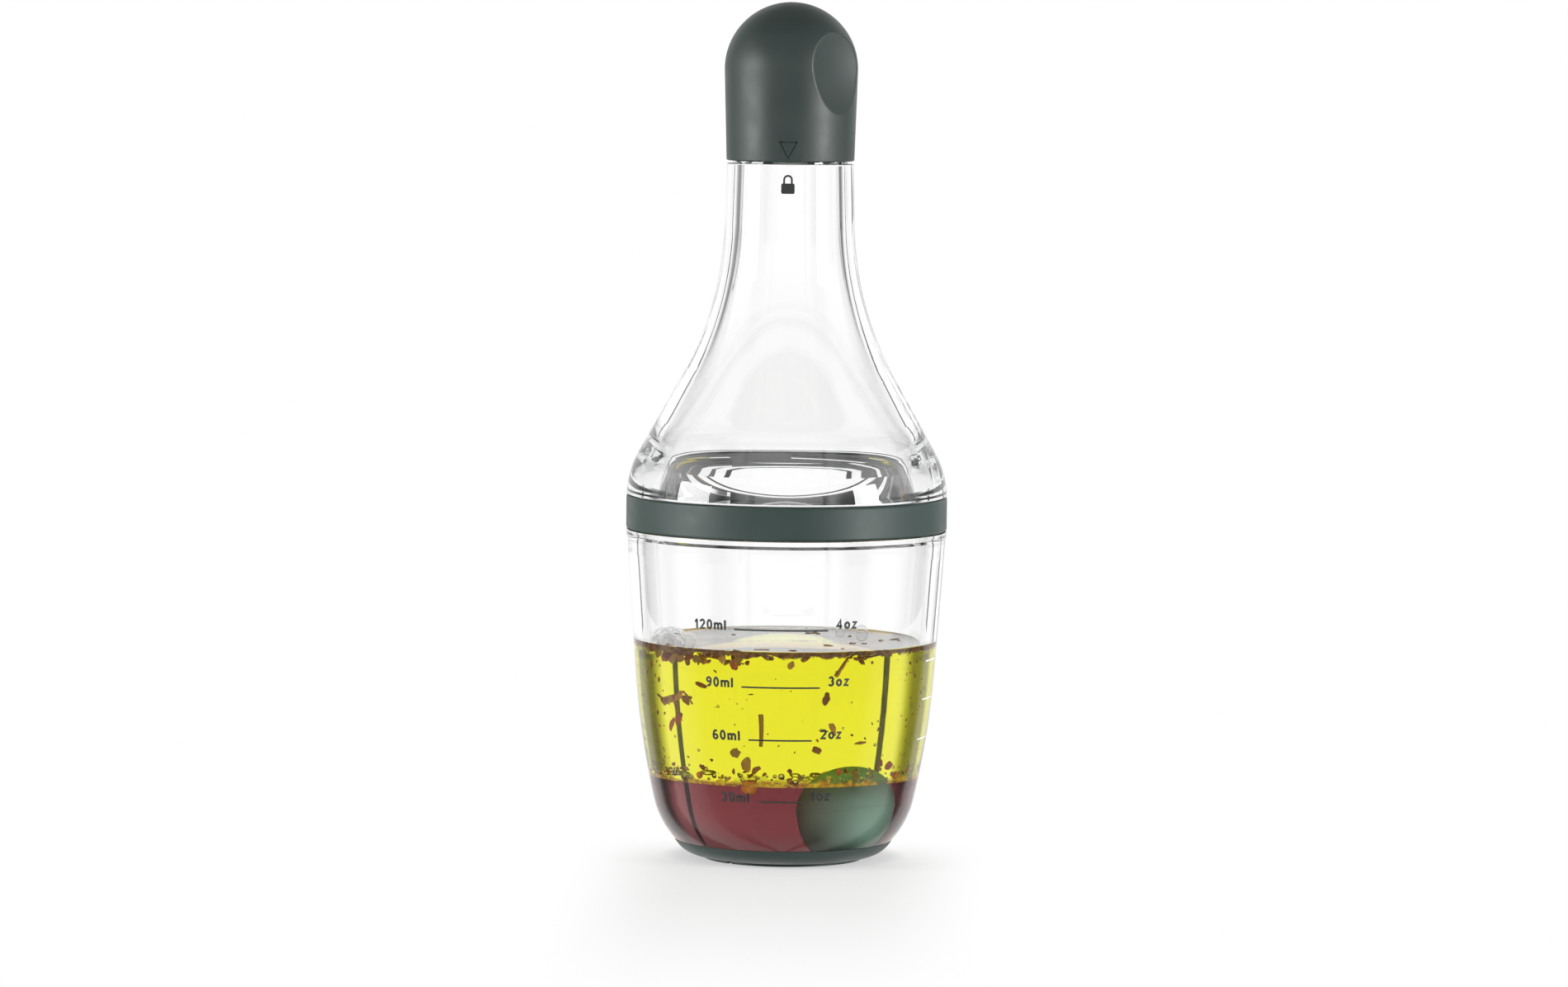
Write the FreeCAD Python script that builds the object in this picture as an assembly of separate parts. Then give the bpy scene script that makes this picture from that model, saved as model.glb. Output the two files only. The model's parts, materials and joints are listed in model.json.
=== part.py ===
import FreeCAD, Part
import math
import os

from FreeCAD import Vector

# Salad dressing shaker: a clear cup on a soft foot, a clear funnel neck screwed
# into the cup, a domed screw cap on the neck and a loose mixing ball inside.
# Millimetres, +Z up, origin at the middle of the foot on the table, front is -Y.

# Clearances
seat_gap = 0.1        # between flat faces that seat on each other
snug_gap = 0.1        # between round faces of pieces that stay together
running_gap = 0.3     # between round faces of pieces that turn or slide

# Foot pad
foot_ring_radius = 17.3
foot_ring_width = 2.5
foot_ring_height = 0.7
foot_recess = 0.6
foot_web = 1.0
foot_edge_height = 4.2
foot_edge_width = 1.5
foot_bulge = 1.1
foot_notch_width = 1.2
foot_notch_depth = 0.45
foot_notch_count = 3
foot_notch_angle = -130.0
foot_rib_radius = 9.2
foot_rib_width = 2.0
foot_rib_height = 1.1

# Cup
cup_height = 72.1
cup_wall = 3.5
cup_floor = 2.7
cup_inset = 0.25       # the wall lies this far inside the band's face
cup_taper = 4.0
cup_flank_radius = 187.0
cup_flank_taper = 13.0
cup_corner_radius = 19.6
cup_corner_taper = 42.4
cup_bead_height = 1.75
cup_bead_slope = 0.7   # height of the slope under the bead
cup_bead_proud = 0.22
cup_bead_round = 0.15
cup_rim_wall = 1.6
cup_rim_round = 0.4

# Band and gasket of the joint between cup and neck
joint_radius = 35.0
band_height = 7.3
band_thickness = 2.3
band_round = 0.5
band_rib_count = 3
band_rib_depth = 0.5
band_rib_width = 0.9
gasket_thickness = 1.0
gasket_width = 2.4

# Neck
neck_height = 72.4
neck_wall = 3.15
neck_top_inset = 0.15  # the neck's top lies this far inside the cap's edge
neck_top_taper = 1.5
neck_cone_angle = 29.2
neck_shoulder_radius = 20.0
neck_shoulder_tilt = 1.7
neck_throat_radius = 72.0
neck_inner_round = 20.0
neck_foot_round = 0.4
neck_ledge_height = 1.6  # the cap's edge goes over this ledge
skirt_wall = 1.3

# Screw thread between cup and neck
joint_starts = 3
joint_pitch = 3.6
joint_thread_depth = 1.1
joint_neck_span = 90.0
joint_cup_span = 50.0

# Mouth of the neck, under the cap
mouth_height = 8.6
mouth_wall = 1.2
mouth_inner_angle = 50.0
mouth_inner_drop = 2.0  # the bore starts to narrow this far below the ledge's top
spout_flange = 0.9
spout_flange_width = 1.6
spout_wall = 0.9
spout_length = 7.0
spout_lip = 0.5

# Screw thread between neck and cap
cap_starts = 4
cap_pitch = 3.5
cap_thread_depth = 0.75
cap_neck_span = 60.0
cap_liner_span = 50.0

# Thread ridges, the same section on both joints
ridge_root_width = 1.6
ridge_crest_width = 0.8
ridge_sink = 0.4      # how deep a ridge's root lies inside its wall
ridge_end_margin = 0.4

# Cap
cap_gap = 0.5
cap_height = 34.4
cap_radius = 14.5
cap_wall = 1.1
cap_taper = 1.7
cap_edge_round = 0.35
liner_wall = 0.9
liner_plate = 1.2
hollow_top_wall = 4.6
hollow_round = 3.0
dimple_angle = 51.0
dimple_height = 22.4
dimple_radius = 30.0
dimple_depth = 2.9
dimple_round = 0.8
dimple_wall = 2.8
pointer_width = 4.1
pointer_height = 3.8
pointer_base = 0.7
pointer_line = 0.34
pointer_depth = 0.25

# Stopper in the cap
stopper_flange = 1.3
stopper_plug = 5.0
stopper_groove = 0.5
stopper_stem_radius = 3.0
stopper_head_radius = 4.4
stopper_head = 1.6

# Mixing ball, loose in the cup
ball_radius = 9.25
ball_angle = -37.5
ball_seam_width = 0.8
ball_seam_proud = 0.12

ORIGIN = Vector(0, 0, 0)
UP = Vector(0, 0, 1)
NEAR = 0.01  # how closely an edge is matched to the place where it should lie


def sine(degrees):
    return math.sin(math.radians(degrees))


def cosine(degrees):
    return math.cos(math.radians(degrees))


def tangent(degrees):
    return math.tan(math.radians(degrees))


# Heights of the seats, from the table up
cup_underside = foot_recess + foot_web + seat_gap
floor_height = cup_underside + cup_floor
neck_bottom = cup_height + band_height + 2 * seat_gap
rim_height = neck_bottom - gasket_thickness - 2 * seat_gap
neck_step = neck_bottom + neck_height
ledge_top = neck_step + neck_ledge_height
mouth_top = neck_step + mouth_height
spout_top = mouth_top + seat_gap + spout_flange
stopper_base = spout_top + seat_gap
plate_base = stopper_base + stopper_flange + seat_gap
plate_top = plate_base + liner_plate
cap_bottom = neck_step + cap_gap
cap_top = cap_bottom + cap_height
liner_bottom = ledge_top + cap_gap

# Radii of the joint's walls, from the band inwards
cup_radius = joint_radius - cup_inset
rim_radius = joint_radius - band_thickness - snug_gap
cup_rim_bore = rim_radius - cup_rim_wall
joint_neck_crest = cup_rim_bore - running_gap
skirt_radius = joint_neck_crest - joint_thread_depth
skirt_bore = skirt_radius - skirt_wall
joint_cup_crest = skirt_radius + running_gap
joint_lead = joint_starts * joint_pitch

# Radii of the cap's walls, from its lower edge inwards
cap_skirt_height = cap_height - cap_radius * (1 + sine(cap_taper))
cap_edge_radius = cap_radius * cosine(cap_taper) - cap_skirt_height * tangent(cap_taper)
neck_top_radius = cap_edge_radius - neck_top_inset
cap_cavity_radius = cap_edge_radius - cap_wall
ledge_radius = cap_cavity_radius - running_gap
liner_radius = cap_cavity_radius - snug_gap
liner_bore = liner_radius - liner_wall
mouth_crest = liner_bore - running_gap
mouth_radius = mouth_crest - cap_thread_depth
mouth_bore = mouth_radius - mouth_wall
liner_crest = mouth_radius + running_gap
hollow_radius = cap_radius - dimple_depth - dimple_wall
cap_lead = cap_starts * cap_pitch


class Outline:
    """Half section in radius and height, closed and spun about the Z axis."""

    def __init__(self, radius, height):
        self.first = self.last = Vector(radius, 0, height)
        self.edges = []

    def line(self, radius, height):
        end = Vector(radius, 0, height)
        self.edges.append(Part.LineSegment(self.last, end).toShape())
        self.last = end
        return self

    def arc(self, centre, angle):
        """Arc about centre, from the last point to the given angle above level."""
        spoke = self.last - Vector(centre[0], 0, centre[1])
        begin = math.degrees(math.atan2(spoke.z, spoke.x))
        sweep = (angle - begin + 180) % 360 - 180
        middle = polar(centre, spoke.Length, begin + sweep / 2)
        return self.bow(middle, polar(centre, spoke.Length, angle))

    def bow(self, middle, end):
        """Arc from the last point through middle to end."""
        through = Vector(middle[0], 0, middle[1])
        end = Vector(end[0], 0, end[1])
        self.edges.append(Part.Arc(self.last, through, end).toShape())
        self.last = end
        return self

    def spun(self):
        self.line(self.first.x, self.first.z)
        return Part.Face(Part.Wire(self.edges)).revolve(ORIGIN, UP, 360)


def polar(centre, radius, angle):
    return centre[0] + radius * cosine(angle), centre[1] + radius * sine(angle)


def rounded(solid, radius, *corners):
    """Rounds the circular edges that pass through the given corners."""
    edges = [
        edge
        for edge in solid.Edges
        for corner in corners
        if not edge.Degenerated
        and isinstance(edge.Curve, Part.Circle)
        and abs(edge.Curve.Radius - corner[0]) < NEAR
        and abs(edge.Curve.Center.z - corner[1]) < NEAR
    ]
    return solid.makeFillet(radius, edges)


def thread_ridge(root, crest, lead, span, height, angle):
    """Helical ridge on a wall of radius root, reaching to radius crest."""
    back = root - math.copysign(ridge_sink, crest - root)
    slope = (ridge_root_width - ridge_crest_width) / 2 / abs(crest - root)
    half_back = ridge_root_width / 2 + slope * ridge_sink
    half_crest = ridge_crest_width / 2
    corners = [
        Vector(back, 0, -half_back),
        Vector(crest, 0, -half_crest),
        Vector(crest, 0, half_crest),
        Vector(back, 0, half_back),
    ]
    section = Part.makePolygon(corners + corners[:1])
    path = Part.Wire(Part.makeHelix(lead, lead * span / 360, root).Edges)
    ridge = path.makePipeShell([section], True, True)
    ridge.rotate(ORIGIN, UP, angle)
    ridge.translate(Vector(0, 0, height))
    return ridge


def with_thread(wall, starts, root, crest, lead, span, height):
    ridges = [
        thread_ridge(root, crest, lead, span, height, turn * 360 / starts)
        for turn in range(starts)
    ]
    return wall.fuse(ridges)


class CupWall:
    """Outer wall of the cup from bead to foot: a cone, a long arc and a corner arc."""

    def __init__(self):
        self.top = cup_radius, cup_height - cup_bead_height
        corner_drop = cup_corner_radius * (sine(cup_corner_taper) - sine(cup_flank_taper))
        flank_drop = cup_flank_radius * (sine(cup_flank_taper) - sine(cup_taper))
        cone_end = foot_edge_height + corner_drop + flank_drop
        cone_end_radius = cup_radius - (self.top[1] - cone_end) * tangent(cup_taper)
        self.flank_centre = polar((cone_end_radius, cone_end), cup_flank_radius, 180 - cup_taper)
        flank_end = polar(self.flank_centre, cup_flank_radius, -cup_flank_taper)
        self.corner_centre = polar(flank_end, cup_corner_radius, 180 - cup_flank_taper)
        self.edge = polar(self.corner_centre, cup_corner_radius, -cup_corner_taper)

    def cone_end(self, inset):
        return polar(self.flank_centre, cup_flank_radius - inset, -cup_taper)


cup_outside = CupWall()
foot_slope_top = cup_outside.edge[0] - foot_edge_width, foot_edge_height
foot_slope_end = foot_ring_radius, cup_underside


def make_cup():
    wall = cup_outside
    bead_radius = cup_radius + cup_bead_proud
    bead_base = cup_height - cup_bead_height
    groove_top = cup_underside + foot_rib_height
    groove_in = foot_rib_radius - foot_rib_width / 2 - snug_gap
    groove_out = foot_rib_radius + foot_rib_width / 2 + snug_gap
    inner_radius = cup_corner_radius - cup_wall
    floor_sine = (wall.corner_centre[1] - floor_height) / inner_radius
    floor_angle = -math.degrees(math.asin(floor_sine))
    inner_cone = wall.cone_end(cup_wall)
    bore_start = inner_cone[1] + (cup_rim_bore - inner_cone[0]) / tangent(cup_taper)
    outline = Outline(0, cup_underside)
    outline.line(groove_in, cup_underside).line(groove_in, groove_top)
    outline.line(groove_out, groove_top).line(groove_out, cup_underside)
    outline.line(*foot_slope_end).line(*foot_slope_top).line(*wall.edge)
    outline.arc(wall.corner_centre, -cup_flank_taper)
    outline.arc(wall.flank_centre, -cup_taper)
    outline.line(cup_radius, bead_base).line(bead_radius, bead_base + cup_bead_slope)
    outline.line(bead_radius, cup_height).line(rim_radius, cup_height)
    outline.line(rim_radius, rim_height).line(cup_rim_bore, rim_height)
    outline.line(cup_rim_bore, bore_start).line(*inner_cone)
    outline.arc(wall.flank_centre, -cup_flank_taper)
    outline.arc(wall.corner_centre, floor_angle)
    outline.line(0, floor_height)
    cup = outline.spun()
    cup = rounded(cup, cup_bead_round, (bead_radius, cup_height))
    cup = rounded(cup, cup_rim_round, (cup_rim_bore, rim_height), (rim_radius, rim_height))
    return with_thread(
        cup, joint_starts, cup_rim_bore, joint_cup_crest, joint_lead, joint_cup_span, joint_cup_thread
    )


def make_foot_pad():
    edge = cup_outside.edge[0]
    top = foot_edge_height - seat_gap
    ring_in = foot_ring_radius - foot_ring_width
    rib_in = foot_rib_radius - foot_rib_width / 2
    rib_out = foot_rib_radius + foot_rib_width / 2
    web_top = foot_recess + foot_web
    rib_top = web_top + foot_rib_height
    chord = math.degrees(math.atan2(top - foot_ring_height, edge - foot_ring_radius))
    chord_middle = (edge + foot_ring_radius) / 2, (top + foot_ring_height) / 2
    middle = polar(chord_middle, foot_bulge, chord - 90)
    outline = Outline(0, foot_recess)
    outline.line(ring_in, foot_recess).line(ring_in, 0)
    outline.line(foot_ring_radius, 0).line(foot_ring_radius, foot_ring_height)
    outline.bow(middle, (edge, top)).line(foot_slope_top[0], top)
    outline.line(foot_slope_end[0], web_top).line(rib_out, web_top)
    outline.line(rib_out, rib_top).line(rib_in, rib_top)
    outline.line(rib_in, web_top).line(0, web_top)
    pad = outline.spun()
    notch_corner = Vector(ring_in - foot_ring_width, -foot_notch_width / 2, 0)
    notch = Part.makeBox(3 * foot_ring_width, foot_notch_width, foot_notch_depth, notch_corner)
    notches = []
    for step in range(foot_notch_count):
        copy = notch.copy()
        copy.rotate(ORIGIN, UP, foot_notch_angle + step * 360 / foot_notch_count)
        notches.append(copy)
    return pad.cut(notches)


def make_seal_band():
    inner = rim_radius + snug_gap
    base = cup_height + seat_gap
    top = base + band_height
    step = band_height / (band_rib_count + 1)
    outline = Outline(inner, base)
    outline.line(joint_radius, base).line(joint_radius, top).line(inner, top)
    for rib in range(band_rib_count, 0, -1):
        middle = base + rib * step
        outline.line(inner, middle + band_rib_width / 2)
        outline.bow((inner + band_rib_depth, middle), (inner, middle - band_rib_width / 2))
    band = outline.spun()
    return rounded(band, band_round, (joint_radius, base), (joint_radius, top))


def make_rim_gasket():
    base = rim_height + seat_gap
    outer = rim_radius - snug_gap
    outline = Outline(outer - gasket_width, base)
    outline.line(outer, base).line(outer, base + gasket_thickness)
    outline.line(outer - gasket_width, base + gasket_thickness)
    return outline.spun()


class NeckWall:
    """Neck wall: shoulder arc, cone, throat arc and a slightly tapered tube, outside and inside."""

    def __init__(self):
        angle = neck_cone_angle
        foot = joint_radius, neck_bottom
        self.shoulder_centre = polar(foot, neck_shoulder_radius, 180 + neck_shoulder_tilt)
        cone = polar(self.shoulder_centre, neck_shoulder_radius, angle)
        slope = tangent(neck_top_taper)
        level = cosine(angle) - cosine(neck_top_taper)
        rise = sine(angle) - sine(neck_top_taper)
        reach = cone[0] - neck_top_radius + neck_throat_radius * (level + slope * rise)
        reach += slope * (cone[1] - neck_step)
        length = reach / (sine(angle) - slope * cosine(angle))
        throat = cone[0] - length * sine(angle), cone[1] + length * cosine(angle)
        self.throat_centre = polar(throat, neck_throat_radius, angle)
        inner_cone = polar(cone, neck_wall, angle + 180)
        inner_end = skirt_bore - neck_inner_round * (1 - cosine(angle))
        inner_rise = (inner_cone[0] - inner_end) / tangent(angle)
        self.inner_round_start = inner_cone[1] + inner_rise - neck_inner_round * sine(angle)
        self.inner_round_centre = skirt_bore - neck_inner_round, self.inner_round_start

    def throat(self, inset, angle):
        return polar(self.throat_centre, neck_throat_radius + inset, 180 + angle)


neck_section = NeckWall()
half_ridge = ridge_root_width / 2 + ridge_end_margin

# The neck's ridges run half a pitch below the cup's, and the liner's below the mouth's
joint_cup_thread = rim_height - cup_rim_round - half_ridge - joint_lead * joint_cup_span / 360
joint_neck_thread = joint_cup_thread - joint_pitch / 2
skirt_end = joint_neck_thread - half_ridge
cap_liner_thread = liner_bottom + half_ridge
cap_neck_thread = cap_liner_thread + cap_pitch / 2


def make_neck():
    wall = neck_section
    inner_top = wall.throat(neck_wall, neck_top_taper)
    tube_end = ledge_top - mouth_inner_drop
    tube_radius = inner_top[0] - (tube_end - inner_top[1]) * tangent(neck_top_taper)
    mouth_start = tube_end + (tube_radius - mouth_bore) * tangent(mouth_inner_angle)
    outline = Outline(skirt_radius, neck_bottom)
    outline.line(joint_radius, neck_bottom).arc(wall.shoulder_centre, neck_cone_angle)
    outline.line(*wall.throat(0, neck_cone_angle)).arc(wall.throat_centre, 180 + neck_top_taper)
    outline.line(neck_top_radius, neck_step).line(ledge_radius, neck_step)
    outline.line(ledge_radius, ledge_top).line(mouth_radius, ledge_top)
    outline.line(mouth_radius, mouth_top).line(mouth_bore, mouth_top)
    outline.line(mouth_bore, mouth_start).line(tube_radius, tube_end).line(*inner_top)
    outline.arc(wall.throat_centre, 180 + neck_cone_angle)
    outline.line(*polar(wall.inner_round_centre, neck_inner_round, neck_cone_angle))
    outline.arc(wall.inner_round_centre, 0)
    outline.line(skirt_bore, skirt_end).line(skirt_radius, skirt_end)
    neck = outline.spun()
    neck = rounded(neck, neck_foot_round, (joint_radius, neck_bottom), (neck_top_radius, neck_step))
    neck = with_thread(
        neck, joint_starts, skirt_radius, joint_neck_crest, joint_lead, joint_neck_span, joint_neck_thread
    )
    return with_thread(
        neck, cap_starts, mouth_radius, mouth_crest, cap_lead, cap_neck_span, cap_neck_thread
    )


spout_radius = mouth_bore - snug_gap
spout_bore = spout_radius - spout_wall


def make_pour_spout():
    flange = spout_bore + spout_flange_width
    base = mouth_top + seat_gap
    outline = Outline(spout_bore, spout_top)
    outline.line(spout_bore, base - spout_length)
    outline.line(spout_bore + spout_wall / 2, base - spout_length)
    outline.line(spout_radius, base - spout_length + spout_lip)
    outline.line(spout_radius, base).line(flange, base).line(flange, spout_top - spout_lip)
    outline.line(flange - spout_lip, spout_top)
    return outline.spun()


def make_cap_stopper():
    plug = spout_bore - running_gap
    flange = mouth_radius
    bottom = stopper_base - stopper_plug
    groove_step = stopper_plug / 3
    flange_top = stopper_base + stopper_flange
    head_base = plate_top + seat_gap
    stem = stopper_stem_radius
    outline = Outline(0, bottom)
    outline.line(plug - stopper_groove, bottom).line(plug, bottom + stopper_groove)
    for groove in range(1, 3):
        middle = bottom + groove * groove_step
        outline.line(plug, middle - stopper_groove)
        outline.bow((plug - stopper_groove, middle), (plug, middle + stopper_groove))
    outline.line(plug, stopper_base).line(flange, stopper_base).line(flange, flange_top)
    outline.line(stem, flange_top).line(stem, head_base).line(stopper_head_radius, head_base)
    outline.line(stem, head_base + stopper_head).line(0, head_base + stopper_head)
    return outline.spun()


def make_cap_liner():
    stem_hole = stopper_stem_radius + running_gap
    outline = Outline(liner_bore, liner_bottom)
    outline.line(liner_radius, liner_bottom).line(liner_radius, plate_top)
    outline.line(stem_hole, plate_top).line(stem_hole, plate_base).line(liner_bore, plate_base)
    liner = outline.spun()
    return with_thread(
        liner, cap_starts, liner_bore, liner_crest, cap_lead, cap_liner_span, cap_liner_thread
    )


def make_pointer():
    """Triangular groove pointing down, at the front of the cap's lower edge."""
    top = cap_bottom + pointer_base + pointer_height
    inset = pointer_line / pointer_height
    prisms = []
    for share in (0, inset):
        half = pointer_width / 2 * (1 - 2 * share)
        corners = [
            Vector(-half, 0, top - share * pointer_height),
            Vector(half, 0, top - share * pointer_height),
            Vector(0, 0, top - pointer_height * (1 - share)),
        ]
        triangle = Part.Face(Part.makePolygon(corners + corners[:1]))
        prisms.append(triangle.extrude(Vector(0, -2 * cap_radius, 0)))
    keep = Part.makeCylinder(cap_edge_radius - pointer_depth, cap_height, Vector(0, 0, cap_bottom))
    return prisms[0].cut([prisms[1], keep])


def lies_on_ball(edge, centre):
    """Whether an edge of the cap lies on the ball that cuts a dimple."""
    if edge.Degenerated:
        return False
    return all(abs(point.distanceToPoint(centre) - dimple_radius) < NEAR for point in edge.discretize(5))


def make_cap_cover():
    dome_centre = 0, cap_top - cap_radius
    cavity_top = plate_top + seat_gap
    hollow_top = cap_top - hollow_top_wall
    outline = Outline(cap_cavity_radius, cap_bottom)
    outline.line(cap_edge_radius, cap_bottom)
    outline.line(*polar(dome_centre, cap_radius, -cap_taper)).arc(dome_centre, 90)
    outline.line(0, hollow_top).line(hollow_radius, hollow_top)
    outline.line(hollow_radius, cavity_top).line(cap_cavity_radius, cavity_top)
    cover = outline.spun()
    cover = rounded(cover, cap_edge_round, (cap_edge_radius, cap_bottom))
    cover = rounded(cover, hollow_round, (hollow_radius, hollow_top))
    reach = cap_radius - dimple_depth + dimple_radius
    centres = [
        Vector(reach * cosine(angle), reach * sine(angle), cap_bottom + dimple_height)
        for angle in (dimple_angle - 90, dimple_angle + 90)
    ]
    cover = cover.cut([Part.makeSphere(dimple_radius, centre) for centre in centres])
    rims = [edge for edge in cover.Edges if any(lies_on_ball(edge, centre) for centre in centres)]
    return cover.makeFillet(dimple_round, rims).cut(make_pointer())


def make_mixing_ball():
    height = floor_height + seat_gap + ball_radius
    corner = cup_outside.corner_centre
    reach = cup_corner_radius - cup_wall - running_gap - ball_radius
    offset = corner[0] + math.sqrt(reach**2 - (corner[1] - height) ** 2)
    place = Vector(offset * cosine(ball_angle), offset * sine(ball_angle), height)
    seam_half = ball_seam_width / 2
    seam_radius = math.sqrt(ball_radius**2 - seam_half**2)
    seam = Outline(0, -seam_half)
    seam.line(seam_radius, -seam_half).bow((ball_radius + ball_seam_proud, 0), (seam_radius, seam_half))
    seam.line(0, seam_half)
    ball = Part.makeSphere(ball_radius).fuse(seam.spun())
    ball.translate(place)
    return ball


PIECES = {
    "foot_pad": make_foot_pad,
    "cup": make_cup,
    "seal_band": make_seal_band,
    "rim_gasket": make_rim_gasket,
    "neck": make_neck,
    "pour_spout": make_pour_spout,
    "cap_stopper": make_cap_stopper,
    "cap_liner": make_cap_liner,
    "cap_cover": make_cap_cover,
    "mixing_ball": make_mixing_ball,
}

os.makedirs("parts", exist_ok=True)
for name, make in PIECES.items():
    piece = make()
    if not piece.isValid() or len(piece.Solids) != 1:
        raise RuntimeError(f"{name} is not one valid solid")
    piece.Solids[0].exportStep(f"parts/{name}.step")
    print(f"{name}: {piece.Volume / 1000:.2f} ml of material")
print(f"overall height {cap_top:.1f}, width {2 * joint_radius:.1f}")
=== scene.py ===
import json
import math
import random

import bmesh
import bpy
from mathutils import Matrix, Vector, noise
from mathutils.bvhtree import BVHTree


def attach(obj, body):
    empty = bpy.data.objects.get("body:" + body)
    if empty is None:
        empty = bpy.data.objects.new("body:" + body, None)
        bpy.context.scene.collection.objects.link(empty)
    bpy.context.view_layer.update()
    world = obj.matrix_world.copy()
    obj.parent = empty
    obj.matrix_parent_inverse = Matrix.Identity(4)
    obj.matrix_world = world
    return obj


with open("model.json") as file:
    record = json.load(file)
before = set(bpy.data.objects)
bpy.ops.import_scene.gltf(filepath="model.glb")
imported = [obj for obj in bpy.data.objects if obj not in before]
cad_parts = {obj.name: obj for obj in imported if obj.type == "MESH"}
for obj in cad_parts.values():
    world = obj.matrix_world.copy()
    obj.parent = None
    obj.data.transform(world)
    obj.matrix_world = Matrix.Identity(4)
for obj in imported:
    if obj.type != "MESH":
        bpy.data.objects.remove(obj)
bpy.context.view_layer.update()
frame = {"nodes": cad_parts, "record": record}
nodes = frame["nodes"]
mm = 0.001
dice = random.Random(7)  # herbs and bubbles fall the same way on every run


class Wire:  # one socket's value, so that sums can be written out
    def __init__(self, finish, socket):
        self.finish = finish
        self.socket = socket

    def __abs__(self):
        return self.finish.reckon("ABSOLUTE", self)

    def __add__(self, other):
        return self.finish.reckon("ADD", self, other)

    __radd__ = __add__

    def __sub__(self, other):
        return self.finish.reckon("SUBTRACT", self, other)

    def __rsub__(self, other):
        return self.finish.reckon("SUBTRACT", other, self)

    def __mul__(self, other):
        return self.finish.reckon("MULTIPLY", self, other)

    __rmul__ = __mul__


class Finish:  # the node tree of one material, or of the world
    def __init__(self, owner):
        owner.use_nodes = True
        self.owner = owner
        self.tree = owner.node_tree
        self.tree.nodes.clear()

    def add(self, kind, settings=None, sockets=None, output=0):
        made = self.tree.nodes.new("ShaderNode" + kind)
        for key, value in (settings or {}).items():
            if key == "stops":
                ramp = made.color_ramp.elements
                while len(ramp) < len(value):
                    ramp.new(1.0)
                for stop, (place, colour) in zip(ramp, value):
                    stop.position, stop.color = place, (*colour, 1.0)
            else:
                setattr(made, key, value)
        for key, value in (sockets or {}).items():
            if isinstance(value, Wire):
                self.tree.links.new(value.socket, made.inputs[key])
            else:
                made.inputs[key].default_value = value
        if isinstance(output, tuple):
            return [Wire(self, made.outputs[each]) for each in output]
        return Wire(self, made.outputs[output])

    def reckon(self, operation, first, second=0.0):
        return self.add("Math", {"operation": operation}, {0: first, 1: second})

    def place(self):
        return self.add("TexCoord", output=3)  # object coordinates, the bottle's own metres

    def grain(self, scale, detail, roughness=0.5):
        sockets = {"Vector": self.place(), "Scale": scale, "Detail": detail, "Roughness": roughness}
        return self.add("TexNoise", {}, sockets)

    def between(self, share, first, second):
        colours = {0: share, 6: first, 7: second}
        return self.add("Mix", {"data_type": "RGBA"}, colours, output=2)

    def ranged(self, value, low, high, first=0.0, last=1.0):
        ends = {"Value": value, "From Min": low, "From Max": high, "To Min": first, "To Max": last}
        return self.add("MapRange", {"interpolation_type": "SMOOTHSTEP"}, ends)

    def rays(self):  # camera, mirrored and see-through rays, while they have met no matt surface
        found = ("Is Camera Ray", "Is Glossy Ray", "Is Transmission Ray", "Diffuse Depth")
        camera, glossy, through, matt = self.add("LightPath", output=found)
        clear = 1 - self.reckon("MINIMUM", matt, 1.0)
        return camera, glossy * (1 - through) * clear, through * clear  # a see-through ray is glossy too

    def bump(self, height, strength, depth):
        return self.add("Bump", {}, {"Height": height, "Strength": strength, "Distance": depth})

    def surface(self, sockets, absorb=None):
        shader = self.add("BsdfPrincipled", {}, sockets)
        ends = {"Surface": shader}
        if absorb:
            ends["Volume"] = self.add("VolumeAbsorption", {}, absorb)
        self.endWith(ends)
        return self.owner

    def endWith(self, ends):
        kind = "OutputWorld" if isinstance(self.owner, bpy.types.World) else "OutputMaterial"
        made = self.tree.nodes.new("ShaderNode" + kind)
        for key, value in ends.items():
            self.tree.links.new(value.socket, made.inputs[key])


def newFinish(name):
    return Finish(bpy.data.materials.new(name))


def paint(colour):  # a screen colour of 0 to 255 as the shader's linear one
    return tuple(((c / 255 + 0.055) / 1.055) ** 2.4 if c > 10 else c / 255 / 12.92 for c in colour) + (1.0,)


white = (1.0, 1.0, 1.0, 1.0)
grainSpan = (0.3, 0.7)  # most of a noise texture's values lie between these
up, down = Vector((0, 0, 1)), Vector((0, 0, -1))


# Where the walls are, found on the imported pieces

probe = {"side": 20.0, "reach": 80 * mm, "height": 30 * mm}  # degrees from the front, start outside, start inside
graph = bpy.context.evaluated_depsgraph_get()
cupTree = BVHTree.FromObject(nodes["cup"], graph)
neckTree = BVHTree.FromObject(nodes["neck"], graph)


def outward(azimuth):  # degrees to the right of the front, as the camera sees it
    turn = math.radians(azimuth)
    return Vector((math.sin(turn), -math.cos(turn), 0.0))


def insideRadius(height):
    hit = cupTree.ray_cast(up * height, outward(probe["side"]))
    return math.hypot(hit[0].x, hit[0].y)


def onWall(tree, azimuth, height, lift):
    out = outward(azimuth)
    hit = tree.ray_cast(out * probe["reach"] + up * height, -out)
    return hit[0] + hit[1] * lift


def bridge(work, rows):  # faces between closed rows of corners
    for lower, upper in zip(rows, rows[1:]):
        for step in range(len(lower)):
            after = (step + 1) % len(lower)
            work.faces.new((lower[step], lower[after], upper[after], upper[step]))


def addPiece(name, work, finish, body, crease=None):
    mesh = bpy.data.meshes.new(name)
    work.to_mesh(mesh)
    work.free()
    for face in mesh.polygons:
        face.use_smooth = True
    if crease:
        mesh.set_sharp_from_angle(angle=math.radians(crease))
    mesh.materials.append(finish)
    piece = bpy.data.objects.new(name, mesh)
    bpy.context.scene.collection.objects.link(piece)
    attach(piece, body)


# Finishes of the bottle itself

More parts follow.
